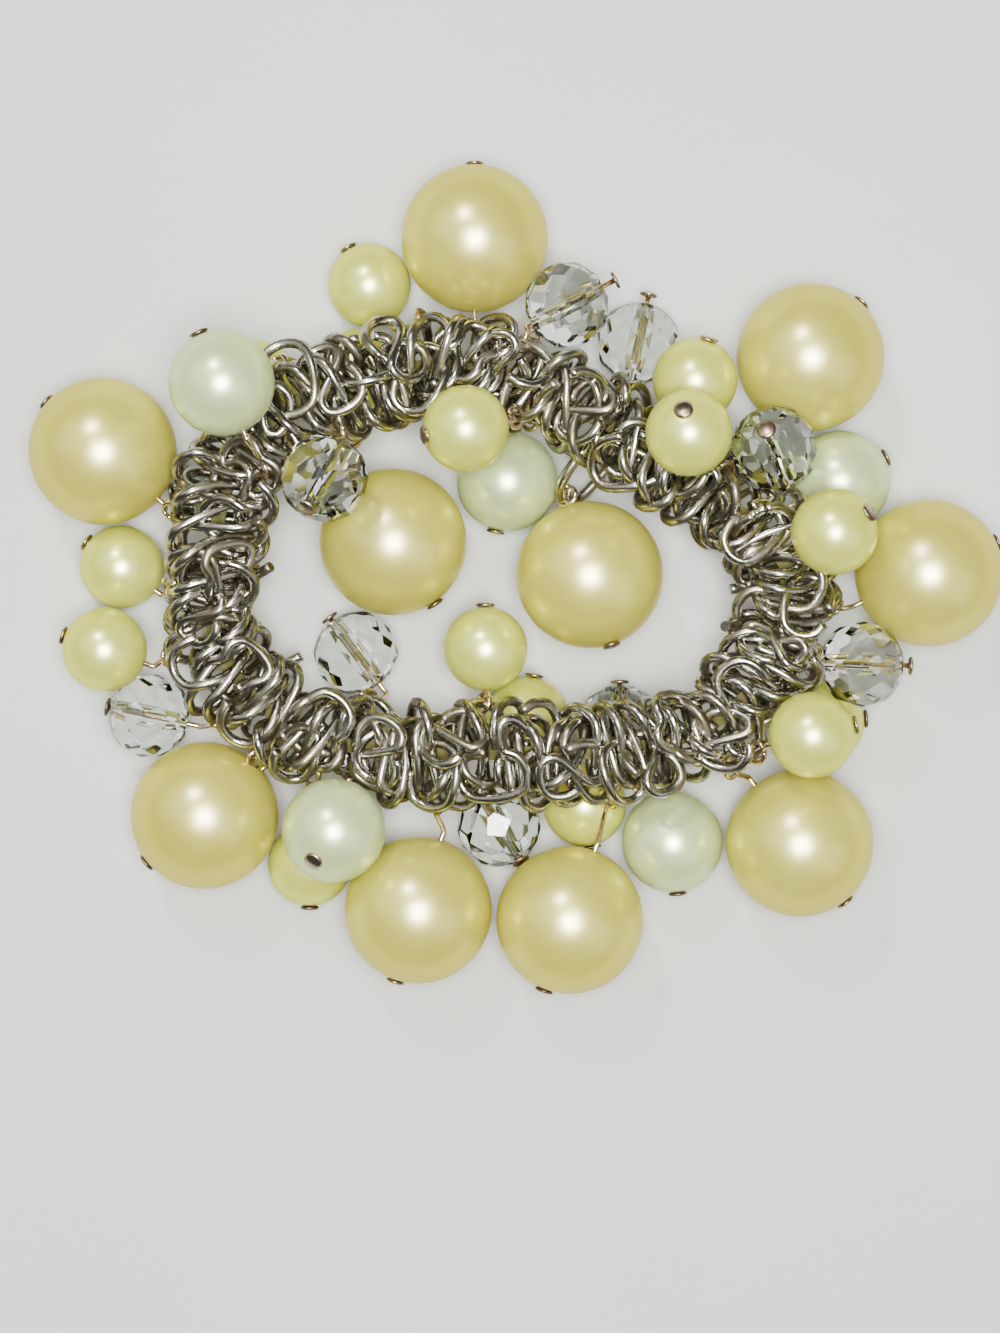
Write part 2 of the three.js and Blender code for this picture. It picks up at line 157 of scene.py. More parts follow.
# Each bead's pin: the way its head points, in degrees round from +X, how many degrees it tips
# up, and how many millimetres the head stands off the bead
PINS = {
    "large_pearl_1": (90, 0, 0), "large_pearl_2": (47, 0, 0), "large_pearl_3": (24, 0, 0),
    "large_pearl_4": (-52, 0, 0), "large_pearl_5": (250, 0, 0), "large_pearl_6": (252, 0, 0),
    "large_pearl_7": (219, 0, 0), "large_pearl_8": (139, 0, 0), "large_pearl_9": (304, 0, 0),
    "large_pearl_10": (287, 10, 0), "white_pearl_1": (114, 5, 0), "white_pearl_2": (257, 0, 0),
    "white_pearl_3": (27, 0, 0), "white_pearl_4": (276, 0, 0), "white_pearl_5": (238, 52, 0),
    "small_pearl_1": (120, 0, 0), "small_pearl_2": (160, 0, 0), "small_pearl_3": (200, 0, 0),
    "small_pearl_4": (192, 22, 0), "small_pearl_5": (72, 16, 0), "small_pearl_6": (112, 62, 0),
    "small_pearl_7": (30, 35, 0), "small_pearl_8": (13, 5, 0), "small_pearl_9": (4, 0, 0),
    "small_pearl_10": (90, 0, 0), "small_pearl_11": (80, 0, 0), "small_pearl_12": (280, 0, 0),
    "small_pearl_13": (270, 0, 0), "small_pearl_14": (145, 0, 0), "small_pearl_15": (161, 0, 0),
    "crystal_1": (27, 5, 0.9), "crystal_2": (78, 0, 0.6), "crystal_3": (126, 64, 0),
    "crystal_4": (-2, 0, 0.4), "crystal_5": (243, 39, 0), "crystal_6": (127, 0, 0),
    "crystal_7": (168, 0, 0), "crystal_8": (302, 20, 0), "crystal_9": (180, 0, 0),
    "crystal_10": (90, 0, 0),
}
KINDS = {
    "large_pearl": (LARGE_PEARL, "cream_pearl"),
    "white_pearl": (WHITE_PEARL, "white_pearl"),
    "small_pearl": (SMALL_PEARL, "yellow_pearl"),
    "crystal": (CRYSTAL, "crystal"),
}

# How a pearl's gloss weakens from where it faces the eye to its rim
PEARL_GLOSS = {"From Min": 0.05, "From Max": 0.36, "To Min": 1, "To Max": 0.08}

# The rows of facets on a crystal: the angle from its hole, how many facets go round, and the
# turn of the row as a share of one facet
FACET_ROWS = [(30, 8, 0), (52, 8, 0.5), (74, 8, 0), (90, 8, 0.5)]
FACET_DEPTH = 0.955

# The bends of a link, as shares of half its length and width. A closed link meets itself.
LINK_BENDS = {
    "oval": (True, [(-1, 0), (-0.82, 0.74), (-0.3, 1), (0.3, 1), (0.82, 0.74),
                    (1, 0), (0.82, -0.74), (0.3, -1), (-0.3, -1), (-0.82, -0.74)]),
    "waisted": (True, [(-1, 0), (-0.84, 0.78), (-0.45, 0.95), (0, 0.74), (0.45, 0.95),
                       (0.84, 0.78), (1, 0), (0.84, -0.78), (0.45, -0.95), (0, -0.74),
                       (-0.45, -0.95), (-0.84, -0.78)]),
    "open": (False, [(0.02, 1), (-0.4, 1), (-0.83, 0.72), (-1, 0), (-0.82, -0.74), (-0.3, -1),
                     (0.3, -1), (0.82, -0.74), (1, 0), (0.84, 0.7), (0.45, 0.98)]),
    "hooks": (False, [(0.05, -0.9), (-0.4, -1), (-0.84, -0.72), (-1, 0), (-0.8, 0.76),
                      (-0.4, 0.8), (0, 0), (0.4, -0.8), (0.8, -0.76), (1, 0), (0.84, 0.72),
                      (0.4, 1), (-0.05, 0.9)]),
    "stray": (False, [(1.42, -0.2), (1.12, -0.5), (0.75, -0.92), (0.2, -1), (-0.4, -1),
                      (-0.84, -0.72), (-1, 0), (-0.82, 0.74), (-0.3, 1), (0.3, 0.9), (0.66, 0.55)]),
}
LINK_MIX = ["oval", "oval", "open", "waisted", "oval", "hooks", "oval", "open"]

# Where a free end sticks out on the inside of the loop, seen from above, in millimetres
STRAY_ENDS = [(20.4, -1.2), (19.1, -3.8), (-23.7, -6.6), (-21.8, -9), (-23.3, -1.2)]

# Beads on a link that hangs out of the bundle, and how far that link may sway
HUNG_BEADS = ["large_pearl_10"]
HANGING_TRIES = 400
HANGING_SWAY = 2 * MM
HANGING_OVERLAP = 0.2 * MM

# Loose links that lie tangled over and between the others
TANGLED_LINKS = 44
TANGLED_MIX = ["open", "hooks", "hooks", "waisted", "open"]
TANGLED_TRIES = 120
TANGLED_NEAR = 6

# How such a link tips, how high over the route and how far across it lies, its length and width
# as shares of a link's, and how far its ends bend down
TANGLED_TILT = 0.4
TANGLED_TWIST = 0.6
TANGLED_RISE = (1.6 * MM, 2.7 * MM)
TANGLED_SHIFT = 2.2 * MM
TANGLED_LENGTHS = (0.62, 0.85)
TANGLED_WIDTHS = (0.8, 1)
TANGLED_BOW = (0.4 * MM, 1.5 * MM)


def bead_middle(node):
    low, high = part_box(node)
    return (Vector(low) + Vector(high)) / 2


def direction(heading, tip):
    turn, rise = math.radians(heading), math.radians(tip)
    flat = math.cos(rise)
    return Vector((math.cos(turn) * flat, math.sin(turn) * flat, math.sin(rise)))


def smooth_line(points, closed, steps):
    """A smooth line through points, with that many steps from each to the next."""
    count = len(points)
    line = []
    for i in range(count if closed else count - 1):
        if closed:
            a, b, c, d = (points[(i + k) % count] for k in (-1, 0, 1, 2))
        else:
            b, c = points[i], points[i + 1]
            a = points[i - 1] if i else b * 2 - c
            d = points[i + 2] if i + 2 < count else c * 2 - b
        first, middle, last = (max((q - p).length, 1e-9) ** 0.5 for p, q in ((a, b), (b, c), (c, d)))
        leave = ((b - a) / first - (c - a) / (first + middle) + (c - b) / middle) * middle
        reach = ((c - b) / middle - (d - b) / (middle + last) + (d - c) / last) * middle
        for step in range(steps):
            t = step / steps
            line.append(
                b * (2 * t**3 - 3 * t**2 + 1) + leave * (t**3 - 2 * t**2 + t)
                + c * (3 * t**2 - 2 * t**3) + reach * (t**3 - t**2)
            )
    if not closed:
        line.append(points[-1].copy())
    return line


def new_piece(name, bm, *replaced, slot=None):
    mesh = bpy.data.meshes.new(name)
    bm.to_mesh(mesh)
    bm.free()
    piece = bpy.data.objects.new(name, mesh)
    bpy.context.collection.objects.link(piece)
    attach(piece, "root")
    if replaced:
        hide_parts(*replaced)
    return piece


# The route through the middles of the links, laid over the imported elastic
flat_route = [
    Vector((x * LOOP_LENGTH / 2, y * LOOP_WIDTH / 2, -sag * LOOP_SAG)) for x, y, sag in ROUTE
]
route = smooth_line(flat_route, True, ROUTE_STEPS)
elastic_low, elastic_high = (Vector(corner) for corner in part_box("elastic"))
route_low = Vector([min(point[axis] for point in route) for axis in range(3)])
route_high = Vector([max(point[axis] for point in route) for axis in range(3)])
shift = (elastic_low + elastic_high - route_low - route_high) / 2
route = [point + shift for point in route]
lengths = [0.0]
for here, after in zip(route, route[1:] + route[:1]):
    lengths.append(lengths[-1] + (after - here).length)
elastic_points = np.array(route[:: ROUTE_STEPS // 5])


def route_at(share):
    """The point at a share of the route's length, and the ways along, up and outwards there."""
    place = (share % 1) * lengths[-1]
    index = max(i for i in range(len(route)) if lengths[i] <= place)
    here, after = route[index], route[(index + 1) % len(route)]
    part = (place - lengths[index]) / (lengths[index + 1] - lengths[index])
    along = (route[(index + 4) % len(route)] - route[index - 4]).normalized()
    outwards = Vector((0, 0, 1)).cross(along).normalized()
    return here.lerp(after, part), along, along.cross(outwards), outwards


# Beads

class Bead:
    def __init__(self, node):
        self.node = node
        kind = node.rsplit("_", 1)[0]
        size, self.slot = KINDS[kind]
        self.radius = size / 2
        self.crystal = kind == "crystal"
        heading, tip, off = PINS[node]
        self.toward = direction(heading, tip)
        self.off = off * MM
        self.middle = bead_middle(node)
        turned = self.toward.to_track_quat("Z", "Y").to_matrix().to_4x4()
        self.place = Matrix.Translation(self.middle) @ turned


def pearl_mesh(radius):
    """A smooth ball with a hole along Z whose edge is rounded."""
    bm = bmesh.new()
    hole = HOLE / 2
    first = math.asin((hole + HOLE_EDGE) / radius)
    profile = []
    for step in range(PEARL_BANDS + 1):
        turn = first + (math.pi - 2 * first) * step / PEARL_BANDS
        profile.append((radius * math.sin(turn), radius * math.cos(turn)))
    rim = radius * math.cos(first)
    wall = rim - HOLE_EDGE
    lower = [(hole + HOLE_EDGE * 0.3, -rim + HOLE_EDGE * 0.25), (hole, -wall)]
    upper = [(hole, wall), (hole + HOLE_EDGE * 0.3, rim - HOLE_EDGE * 0.25)]
    corners = [bm.verts.new((x, 0, z)) for x, z in profile + lower + upper]
    edges = [bm.edges.new((a, b)) for a, b in zip(corners, corners[1:] + corners[:1])]
    bmesh.ops.spin(bm, geom=corners + edges, axis=(0, 0, 1), cent=(0, 0, 0), angle=2 * math.pi,
                   steps=PEARL_SIDES, use_merge=True)
    bmesh.ops.recalc_face_normals(bm, faces=bm.faces)
    for face in bm.faces:
        face.smooth = True
    return bm


def crystal_mesh(radius):
    """A ball cut to flat facets, with a table and a drilled hole at each end."""
    bm = bmesh.new()
    bmesh.ops.create_cube(bm, size=3 * radius)
    cuts = []
    for polar, around, turn in FACET_ROWS:
        for side in (1, -1) if polar < 90 else (1,):
            for facet in range(around):
                angle = 2 * math.pi * (facet + turn) / around
                tilt = math.radians(polar)
                flat = math.sin(tilt)
                cuts.append(Vector((math.cos(angle) * flat, math.sin(angle) * flat,
                                    side * math.cos(tilt))))
    half = math.sqrt(radius**2 - (CRYSTAL_TABLE / 2) ** 2)
    planes = [(cut * radius * FACET_DEPTH, cut) for cut in cuts]
    planes += [(Vector((0, 0, side * half)), Vector((0, 0, side))) for side in (1, -1)]
    for point, normal in planes:
        made = bmesh.ops.bisect_plane(bm, geom=bm.verts[:] + bm.edges[:] + bm.faces[:],
                                      plane_co=point, plane_no=normal, clear_outer=True)
        rim = [e for e in made["geom_cut"] if isinstance(e, bmesh.types.BMEdge)]
        if rim:
            bmesh.ops.edgeloop_fill(bm, edges=rim)
    ends = []
    for side in (1, -1):
        table = [f for f in bm.faces
                 if f.normal.z * side > 0.99 and all(abs(v.co.z) > half * 0.99 for v in f.verts)]
        rim = [e for e in bm.edges if sum(f in table for f in e.link_faces) == 1]
        bmesh.ops.delete(bm, geom=table, context="FACES_ONLY")
        ring = bmesh.ops.create_circle(bm, segments=HOLE_SIDES, radius=HOLE / 2,
                                       matrix=Matrix.Translation((0, 0, side * half)))["verts"]
        circle = [e for e in bm.edges if all(v in ring for v in e.verts)]
        bmesh.ops.bridge_loops(bm, edges=rim + circle)
        ends.append(circle)
    bmesh.ops.bridge_loops(bm, edges=ends[0] + ends[1])
    bmesh.ops.recalc_face_normals(bm, faces=bm.faces)
    return bm


beads = [Bead(node) for node in PINS]
bead_pieces = []
for bead in beads:
    bm = crystal_mesh(bead.radius) if bead.crystal else pearl_mesh(bead.radius)
    bm.transform(bead.place)
    word = "cut" if bead.crystal else "smooth"
    bead_pieces.append(new_piece(f"{word}_{bead.node}", bm, bead.node, slot=bead.slot))


# Links, each turned and slid a little until it lies clear of beads, elastic and its neighbours

dice = random.Random(17)
bead_middles = np.array([bead.middle for bead in beads])
bead_reach = np.array([bead.radius for bead in beads]) + LINK_WIRE / 2 + LINK_ROOM
half_length = (LINK_LENGTH - LINK_WIRE) / 2
half_width = (LINK_WIDTH - LINK_WIRE) / 2


def apart(points, others):
    return np.linalg.norm(points[:, None, :] - others[None, :, :], axis=2)


def link_line(kind, share, side):
    """One way that a link may lie: its wire's middle line, its two ends and the way it turns."""
    closed, bends = LINK_BENDS[kind]
    point, along, up, outwards = route_at(share + dice.uniform(-LINK_DRIFT, LINK_DRIFT) / LINKS)
    stray = kind == "stray"
    roll = math.radians(dice.uniform(-LINK_ROLL, LINK_ROLL))
    lean = math.radians(side * dice.uniform(*LINK_LEAN))
    yaw = math.radians(side * dice.uniform(*LINK_YAW))
    long_way = outwards * (-math.cos(roll) if stray else math.cos(roll)) + up * math.sin(roll)
    long_way = (long_way * math.cos(yaw) + along * math.sin(yaw)).normalized()
    upright = long_way.cross(along).normalized()
    flat = upright.cross(long_way)
    wide = upright * math.cos(lean) + flat * math.sin(lean)
    normal = long_way.cross(wide)
    middle = point + outwards * dice.uniform(-LINK_SHIFT, LINK_SHIFT)
    longer = half_length * dice.uniform(*LINK_LENGTHS)
    wider = half_width * dice.uniform(*LINK_WIDTHS)
    bow = dice.uniform(-LINK_BOW, LINK_BOW)
    corners = [
        middle + long_way * (u * longer) + wide * (v * wider) + normal * (bow * math.cos(math.pi * u))
        for u, v in bends
    ]
    ends = [middle + long_way * (longer * end) for end in (1, -1)]
    return smooth_line(corners, closed, BEND_STEPS), ends, wide


def pressed(points, others):
    """How deep a link's wire would lie in beads, in the elastic and in other wires."""
    press = np.clip(bead_reach[None, :] - apart(points, bead_middles), 0, None).max() * BEAD_COST
    held = apart(points, elastic_points).min()
    press += max(0, ELASTIC_REACH + LINK_WIRE / 2 - held) * ELASTIC_COST
    if others is not None:
        press += np.clip(LINK_WIRE - apart(points, others).min(axis=1), 0, None).sum()
    return press


def easiest(tries, others, closed):
    """The way to lie that presses least, out of several."""
    best = None
    for line, ends, wide in tries:
        press = pressed(np.array(line), others)
        if best is None or press < best["press"]:
            best = {"press": press, "line": line, "points": np.array(line), "ends": ends,
                    "wide": wide, "closed": closed, "pins": 0}
    return best


middles = [route_at(i / LINKS)[0] for i in range(LINKS)]
stray_links = {
    min(range(LINKS), key=lambda i: math.hypot(middles[i].x - x * MM, middles[i].y - y * MM))
    for x, y in STRAY_ENDS
}
links = []
for i in range(LINKS):
    kind = "stray" if i in stray_links else LINK_MIX[dice.randrange(len(LINK_MIX))]
    near = [link["points"] for link in links[-NEAR_LINKS:]]
    if i > LINKS - NEAR_LINKS:
        near += [link["points"] for link in links[: i + NEAR_LINKS - LINKS]]
    others = np.concatenate(near) if near else None
    tries = (link_line(kind, i / LINKS, 1 if i % 2 else -1) for attempt in range(LINK_TRIES))
    links.append(easiest(tries, others, LINK_BENDS[kind][0]))


def pin_neck(bead):
    return bead.middle - bead.toward * (bead.radius + PIN_NECK)


def hanging_line(bead):
    """One way for a link to hang between a bead's neck and the middle of the bundle."""
    closed, bends = LINK_BENDS["oval"]
    neck = pin_neck(bead)
    nearest = min(route, key=lambda point: (point - neck).length)
    sway = Vector([dice.uniform(-HANGING_SWAY, HANGING_SWAY) for axis in range(3)])
    long_way = (nearest + sway - neck).normalized()
    wide = long_way.cross(Vector([dice.uniform(-1, 1) for axis in range(3)])).normalized()
    middle = neck + long_way * (half_length - HANGING_OVERLAP)
    corners = [middle + long_way * (u * half_length) + wide * (v * half_width) for u, v in bends]
    return smooth_line(corners, closed, BEND_STEPS), [middle - long_way * half_length], wide


for bead in beads:
    if bead.node in HUNG_BEADS:
        others = np.concatenate([link["points"] for link in links])
        tries = (hanging_line(bead) for attempt in range(HANGING_TRIES))
        links.append(easiest(tries, others, True))


def wire_piece(name, lines, wire):
    """Wires as one piece. Each line is (points, closed); a cut end is square and filled."""
    curve = bpy.data.curves.new(name, "CURVE")
    curve.dimensions = "3D"
    curve.bevel_depth = wire / 2
    curve.bevel_resolution = 2
    curve.use_fill_caps = True
    for points, closed in lines:
        spline = curve.splines.new("POLY")
        spline.points.add(len(points) - 1)
        for place, point in zip(spline.points, points):
            place.co = (*point, 1)
        spline.use_cyclic_u = closed
        spline.use_smooth = True
    drawn = bpy.data.objects.new(name, curve)
    bpy.context.collection.objects.link(drawn)
    bpy.context.view_layer.update()
    mesh = bpy.data.meshes.new_from_object(drawn.evaluated_get(bpy.context.evaluated_depsgraph_get()))
    bpy.data.objects.remove(drawn)
    bpy.data.curves.remove(curve)
    bm = bmesh.new()
    bm.from_mesh(mesh)
    bpy.data.meshes.remove(mesh)
    bmesh.ops.remove_doubles(bm, verts=bm.verts, dist=1e-6)
    bmesh.ops.recalc_face_normals(bm, faces=bm.faces)
    for face in bm.faces:
        face.smooth = len(face.verts) == 4
    return new_piece(name, bm, "links_and_head_pins", slot="aged_wire")


link_piece = wire_piece(
    "bent_links", [(link["line"], link["closed"]) for link in links], LINK_WIRE
)


# Head pins: from the head through the bead, and round the end of the nearest link

def crossing(start, end, skip):
    """How far a straight wire between two points would go through other beads."""
    deep = 0
    line = end - start
    for other in beads:
        if other is skip:
            continue
        part = max(0, min(1, (other.middle - start).dot(line) / line.length_squared))
        away = (start + line * part - other.middle).length
        deep = max(deep, other.radius + PIN_WIRE / 2 - away)
    return deep


def pin_line(bead):
    """The middle line of a bead's pin, hooked on the end of the link that is easiest to reach."""
    neck = pin_neck(bead)
    least = math.inf
    for other in links:
        for place in other["ends"]:
            away = neck - place
            cost = away.length + CROSSING_COST * crossing(neck, place, bead)
            cost += SHARING_COST * other["pins"]
            cost += max(0, away.normalized().dot(bead.toward) + 1) * BENDING_COST
            if cost < least:
                least, link, end = cost, other, place
    link["pins"] += 1
    head = bead.middle + bead.toward * (bead.radius + bead.off)
    back = (neck - end).normalized()
    round_way = back - link["wide"] * back.dot(link["wide"])
    round_way = round_way.normalized() if round_way.length > 0.2 else back
    side = round_way.cross(link["wide"]).normalized()
    loop = PIN_LOOP / 2 - PIN_WIRE / 2
    middle = end + round_way * (loop * PIN_LOOP_BACK)
    start = bead.middle - bead.toward * (bead.radius + PIN_NECK * PIN_BEND_START)
    corners = [head, bead.middle, start]
    if (neck - middle).length > loop * PIN_STRAIGHT_NECK:
        corners.append(neck)
    for step in range(PIN_LOOP_STEPS + 1):
        turn = math.radians(PIN_LOOP_START + PIN_LOOP_SWEEP * step / PIN_LOOP_STEPS)
        corners.append(middle + round_way * (loop * math.cos(turn)) + side * (loop * math.sin(turn)))
    return smooth_line(corners, False, BEND_STEPS)


pin_lines = [pin_line(bead) for bead in beads]
pin_piece = wire_piece("head_pin_wires", [(line, False) for line in pin_lines], PIN_WIRE)


# The tangled links, laid last, clear of the pins where they can be

def tangled_line(kind, share):
    """One way for a loose link to lie over the bundle, its ends bent down into it."""
    closed, bends = LINK_BENDS[kind]
    point, along, up, outwards = route_at(share + dice.uniform(-0.5, 0.5) / TANGLED_LINKS)
    turn = dice.uniform(0, 2 * math.pi)
    long_way = along * math.cos(turn) + outwards * math.sin(turn)
    long_way = (long_way + up * dice.uniform(-TANGLED_TILT, TANGLED_TILT)).normalized()
    wide = up.cross(long_way) + up * dice.uniform(-TANGLED_TWIST, TANGLED_TWIST)
    wide = (wide - long_way * wide.dot(long_way)).normalized()
    middle = point + up * dice.uniform(*TANGLED_RISE)
    middle += outwards * dice.uniform(-TANGLED_SHIFT, TANGLED_SHIFT)
    longer = half_length * dice.uniform(*TANGLED_LENGTHS)
    wider = half_width * dice.uniform(*TANGLED_WIDTHS)
    bow = dice.uniform(*TANGLED_BOW)
    corners = [
        middle + long_way * (u * longer) + wide * (v * wider) - up * (bow * u * u) for u, v in bends
    ]
    return smooth_line(corners, closed, BEND_STEPS), [], wide


tangled = []
pin_points = np.array([point for line in pin_lines for point in line])
for i in range(TANGLED_LINKS):
    kind = TANGLED_MIX[dice.randrange(len(TANGLED_MIX))]
    first = round(i / TANGLED_LINKS * LINKS)
    steps = range(-TANGLED_NEAR, TANGLED_NEAR + 1)
    near = [links[(first + step) % LINKS]["points"] for step in steps]
    near += [link["points"] for link in tangled[-2:]]
    others = np.concatenate([*near, pin_points])
    tries = (tangled_line(kind, i / TANGLED_LINKS) for attempt in range(TANGLED_TRIES))
    tangled.append(easiest(tries, others, LINK_BENDS[kind][0]))
tangled_piece = wire_piece(
    "tangled_links", [(link["line"], link["closed"]) for link in tangled], LINK_WIRE
)


# The heads of the pins

bm = bmesh.new()
for bead in beads:
    corners = [bm.verts.new((x * HEAD / 2, 0, z * HEAD_THICKNESS)) for x, z in HEAD_OUTLINE]
    edges = [bm.edges.new((a, b)) for a, b in zip(corners, corners[1:])]
    bmesh.ops.spin(bm, geom=corners + edges, axis=(0, 0, 1), cent=(0, 0, 0), angle=2 * math.pi,
                   steps=HEAD_SIDES, use_merge=True)
    new = {v for face in bm.faces for v in face.verts if not face.tag}
    place = bead.place @ Matrix.Translation((0, 0, bead.radius + bead.off))
    bmesh.ops.transform(bm, matrix=place, verts=list(new))
    for face in bm.faces:
        face.tag = True
        face.smooth = True
bmesh.ops.remove_doubles(bm, verts=bm.verts, dist=1e-6)
bmesh.ops.recalc_face_normals(bm, faces=bm.faces)
head_piece = new_piece("pin_heads", bm, "links_and_head_pins", slot="aged_wire")


# Materials

def effect(name, inputs, outputs):
    """A shared group of nodes with named sockets, and its input and output nodes."""
    group = bpy.data.node_groups.new(name, "ShaderNodeTree")
    for socket, kind, value in inputs:
        made = group.interface.new_socket(socket, in_out="INPUT", socket_type=f"NodeSocket{kind}")
        made.default_value = value
    for socket, kind in outputs:
        group.interface.new_socket(socket, in_out="OUTPUT", socket_type=f"NodeSocket{kind}")
    return group, group.nodes.new("NodeGroupInput"), group.nodes.new("NodeGroupOutput")


def node(tree, kind, **values):
    made = tree.nodes.new(f"ShaderNode{kind}")
    for key, value in values.items():
        if hasattr(made, key):
            setattr(made, key, value)
        else:
            made.inputs[key.replace("_", " ").title()].default_value = value
    return made


def make_soft_patches():
    """Two colours in soft patches, with the mask of the second."""
    group, inside, outside = effect(
        "soft_patches",
        [("First Color", "Color", (1, 1, 1, 1)), ("Second Color", "Color", (0, 0, 0, 1)),
         ("Scale", "Float", 100), ("Low", "Float", 0.4), ("High", "Float", 0.6)],
        [("Color", "Color"), ("Mask", "Float")],
    )
    place = node(group, "TexCoord")
    noise = node(group, "TexNoise", detail=5.0, roughness=0.6)
    spread = node(group, "MapRange")
    mix = node(group, "Mix", data_type="RGBA")
    link = group.links.new
    link(place.outputs["Object"], noise.inputs["Vector"])
    link(inside.outputs["Scale"], noise.inputs["Scale"])
    link(noise.outputs["Fac"], spread.inputs["Value"])
    link(inside.outputs["Low"], spread.inputs["From Min"])
    link(inside.outputs["High"], spread.inputs["From Max"])
    link(spread.outputs["Result"], mix.inputs["Factor"])
    link(inside.outputs["First Color"], mix.inputs[MIX_FIRST])
    link(inside.outputs["Second Color"], mix.inputs[MIX_SECOND])
    link(mix.outputs[MIX_RESULT], outside.inputs["Color"])
    link(spread.outputs["Result"], outside.inputs["Mask"])
    return group


def make_fine_relief():
    """A fine uneven surface."""
    group, inside, outside = effect(
        "fine_relief",
        [("Scale", "Float", 1000), ("Strength", "Float", 0.1), ("Distance", "Float", 0.00005)],
        [("Normal", "Vector")],
    )
    place = node(group, "TexCoord")
    noise = node(group, "TexNoise", detail=4.0, roughness=0.55)
    bump = node(group, "Bump")
    link = group.links.new
    link(place.outputs["Object"], noise.inputs["Vector"])
    link(inside.outputs["Scale"], noise.inputs["Scale"])
    link(noise.outputs["Fac"], bump.inputs["Height"])
    link(inside.outputs["Strength"], bump.inputs["Strength"])
    link(inside.outputs["Distance"], bump.inputs["Distance"])
    link(bump.outputs["Normal"], outside.inputs["Normal"])
    return group


soft_patches = make_soft_patches()
fine_relief = make_fine_relief()


def material(name, shader_values):
    made = bpy.data.materials.new(name)
    made.use_nodes = True
    tree = made.node_tree
    shader = tree.nodes["Principled BSDF"]
    for socket, value in shader_values.items():
        shader.inputs[socket].default_value = value
    return made, tree, shader


def patches(tree, first, second, scale, low, high):
    group = tree.nodes.new("ShaderNodeGroup")
    group.node_tree = soft_patches
    for socket, value in (("First Color", (*first, 1)), ("Second Color", (*second, 1)),
                          ("Scale", scale), ("Low", low), ("High", high)):
        group.inputs[socket].default_value = value
    return group


def relief(tree, shader, scale, strength, distance):
    group = tree.nodes.new("ShaderNodeGroup")
    group.node_tree = fine_relief
    for socket, value in (("Scale", scale), ("Strength", strength), ("Distance", distance)):
        group.inputs[socket].default_value = value
    tree.links.new(group.outputs["Normal"], shader.inputs["Normal"])


def rough_by(tree, shader, mask, low, high):
    spread = node(tree, "MapRange")
    spread.inputs["To Min"].default_value = low
    spread.inputs["To Max"].default_value = high
    tree.links.new(mask, spread.inputs["Value"])
    tree.links.new(spread.outputs["Result"], shader.inputs["Roughness"])


def pearl_material(name, base, darker, edge):
    """A golden body under a wide silvery glow, whose gloss weakens towards the rim."""
    made, tree, shader = material(name, {
        "Metallic": 0.4, "Specular IOR Level": 0.25, "Specular Tint": (*edge, 1),
        "Coat Roughness": 0.3, "Coat IOR": 2.3,
    })
    turned = node(tree, "LayerWeight")
    gloss = node(tree, "MapRange")
    for socket, value in PEARL_GLOSS.items():
        gloss.inputs[socket].default_value = value
    tree.links.new(turned.outputs["Facing"], gloss.inputs["Value"])
    tree.links.new(gloss.outputs["Result"], shader.inputs["Coat Weight"])
    colour = patches(tree, base, darker, 130, 0.35, 0.75)
    tree.links.new(colour.outputs["Color"], shader.inputs["Base Color"])
    rough_by(tree, shader, colour.outputs["Mask"], 0.31, 0.37)
    relief(tree, shader, 1500, 0.08, 0.00004)
    return made


cream = pearl_material("cream_nacre", (0.62, 0.565, 0.085), (0.56, 0.49, 0.06), (1, 0.85, 0.35))
white = pearl_material("white_nacre", (0.61, 0.7, 0.34), (0.56, 0.66, 0.28), (0.95, 1, 0.7))
yellow = pearl_material("yellow_nacre", (0.68, 0.71, 0.115), (0.62, 0.64, 0.085), (1, 0.92, 0.4))

crystal_look, tree, shader = material("clear_crystal", {"Transmission Weight": 1.0, "IOR": 1.6})
stains = patches(tree, (0.96, 0.985, 0.97), (0.9, 0.94, 0.9), 260, 0.5, 0.8)
tree.links.new(stains.outputs["Color"], shader.inputs["Base Color"])
rough_by(tree, shader, stains.outputs["Mask"], 0.0, 0.05)


def metal_material(name, bright, dull, low, high, rough):
    made, tree, shader = material(name, {"Metallic": 1.0})
    colour = patches(tree, bright, dull, 420, low, high)
    tree.links.new(colour.outputs["Color"], shader.inputs["Base Color"])
    rough_by(tree, shader, colour.outputs["Mask"], rough, rough + 0.22)
    relief(tree, shader, 1800, 0.2, 0.00006)
    return made


link_look = metal_material("tarnished_silver", (0.45, 0.43, 0.37), (0.165, 0.135, 0.08),
                           0.42, 0.7, 0.2)
pin_look = metal_material("pale_gold_wire", (0.8, 0.66, 0.42), (0.55, 0.3, 0.18), 0.45, 0.7, 0.16)
head_look = metal_material("browned_heads", (0.52, 0.42, 0.28), (0.16, 0.1, 0.08), 0.4, 0.6, 0.22)

elastic_look, tree, shader = material("olive_elastic", {"Specular IOR Level": 0.2})
colour = patches(tree, (0.1, 0.088, 0.014), (0.055, 0.05, 0.01), 700, 0.35, 0.65)
tree.links.new(colour.outputs["Color"], shader.inputs["Base Color"])
rough_by(tree, shader, colour.outputs["Mask"], 0.5, 0.75)
relief(tree, shader, 3500, 0.5, 0.0001)

looks = {
    "cream_pearl": cream, "white_pearl": white, "yellow_pearl": yellow, "crystal": crystal_look,
}
for bead, piece in zip(beads, bead_pieces):
    piece.data.materials.append(looks[bead.slot])
link_piece.data.materials.append(link_look)
tangled_piece.data.materials.append(link_look)
pin_piece.data.materials.append(pin_look)
head_piece.data.materials.append(head_look)
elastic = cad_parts["elastic"]
elastic.data.materials.clear()
elastic.data.materials.append(elastic_look)


# The floor under the lowest piece, the lights and the camera

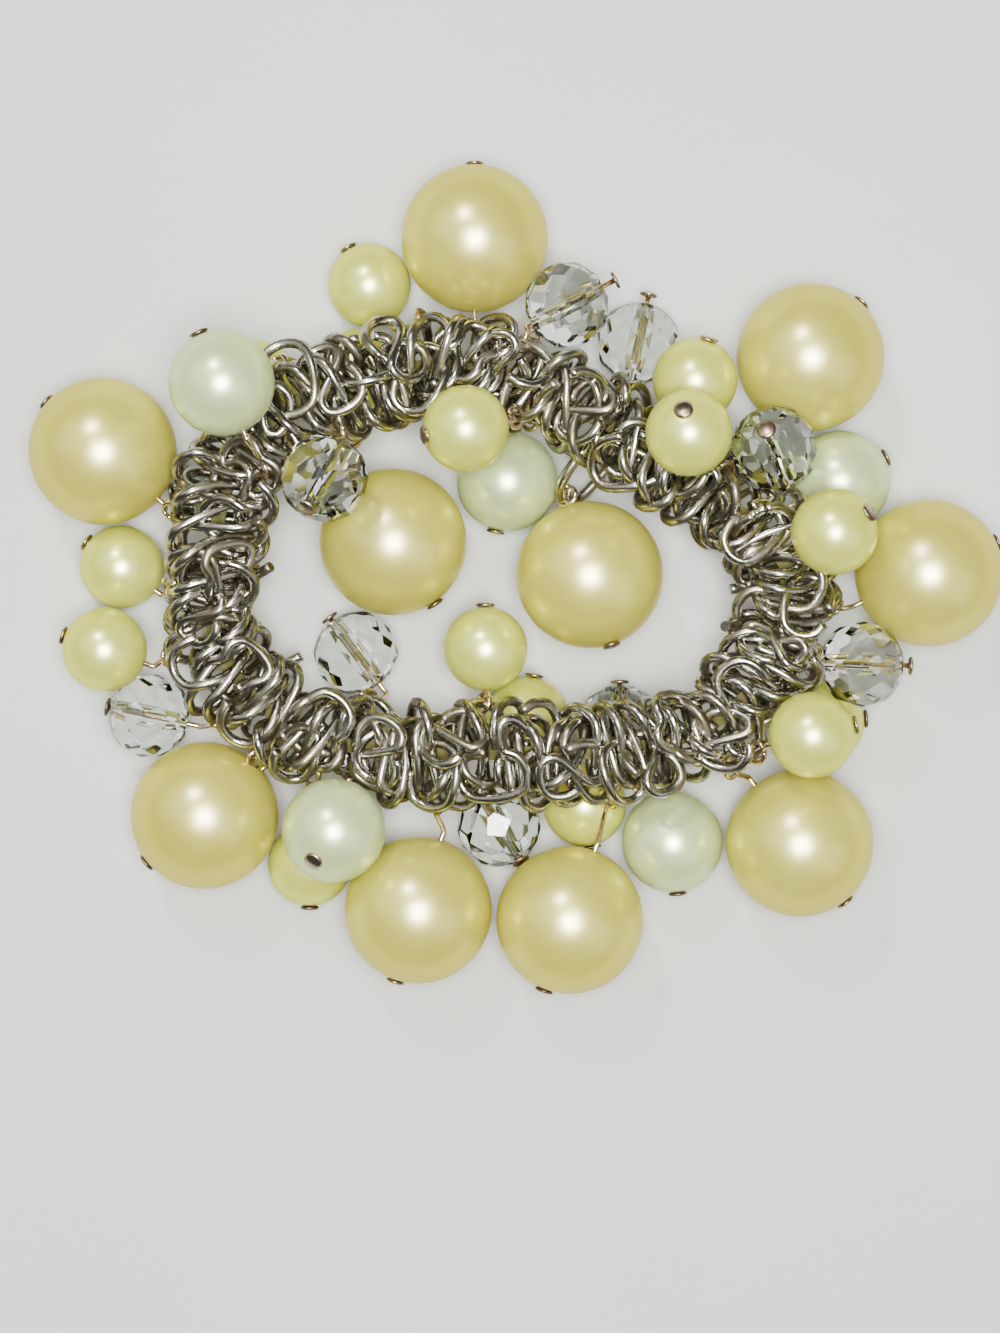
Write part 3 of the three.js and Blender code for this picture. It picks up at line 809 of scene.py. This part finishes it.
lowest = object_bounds()[0][2]
bm = bmesh.new()
bmesh.ops.create_grid(bm, x_segments=1, y_segments=1, size=1.5,
                      matrix=Matrix.Translation((0, 0, lowest)))
mesh = bpy.data.meshes.new("floor")
bm.to_mesh(mesh)
bm.free()
floor = bpy.data.objects.new("floor", mesh)
bpy.context.collection.objects.link(floor)
floor_look, tree, shader = material("pale_floor", {"Specular IOR Level": 0.2})
tone = patches(tree, (0.58, 0.576, 0.565), (0.55, 0.546, 0.535), 8, 0.35, 0.65)
tree.links.new(tone.outputs["Color"], shader.inputs["Base Color"])
rough_by(tree, shader, tone.outputs["Mask"], 0.75, 0.85)
floor.data.materials.append(floor_look)


def area_light(name, place, aim, size, power, colour):
    data = bpy.data.lights.new(name, "AREA")
    data.size = size
    data.energy = power
    data.color = colour
    lamp = bpy.data.objects.new(name, data)
    bpy.context.collection.objects.link(lamp)
    lamp.location = place
    lamp.rotation_euler = (Vector(aim) - Vector(place)).to_track_quat("-Z", "Y").to_euler()


area_light("key", (0.004, -0.022, 0.36), (0, -0.008, 0), 0.12, 3.4, (0.985, 1, 0.96))
area_light("upper_key", (-0.12, 0.28, 0.4), (0, 0, 0), 0.06, 1.5, (0.99, 1, 0.97))
area_light("left_fill", (-0.5, 0.2, 0.45), (0, 0, 0), 0.5, 0.7, (0.95, 0.98, 1))
area_light("right_fill", (0.5, -0.25, 0.4), (0, 0, 0), 0.5, 0.7, (1, 0.98, 0.95))

world = bpy.data.worlds.new("studio")
world.use_nodes = True
world.node_tree.nodes["Background"].inputs["Color"].default_value = (0.9, 0.92, 0.95, 1)
world.node_tree.nodes["Background"].inputs["Strength"].default_value = 0.08
bpy.context.scene.world = world

camera_data = bpy.data.cameras.new("camera")
camera_data.sensor_fit = "VERTICAL"
camera_data.sensor_height = SENSOR_HEIGHT
camera_data.lens = FOCAL_SHARE * SENSOR_HEIGHT
camera_data.clip_start = 0.01
camera = bpy.data.objects.new("camera", camera_data)
camera.location = (*CAMERA_OVER, CAMERA_HEIGHT)
bpy.context.collection.objects.link(camera)
bpy.context.scene.camera = camera
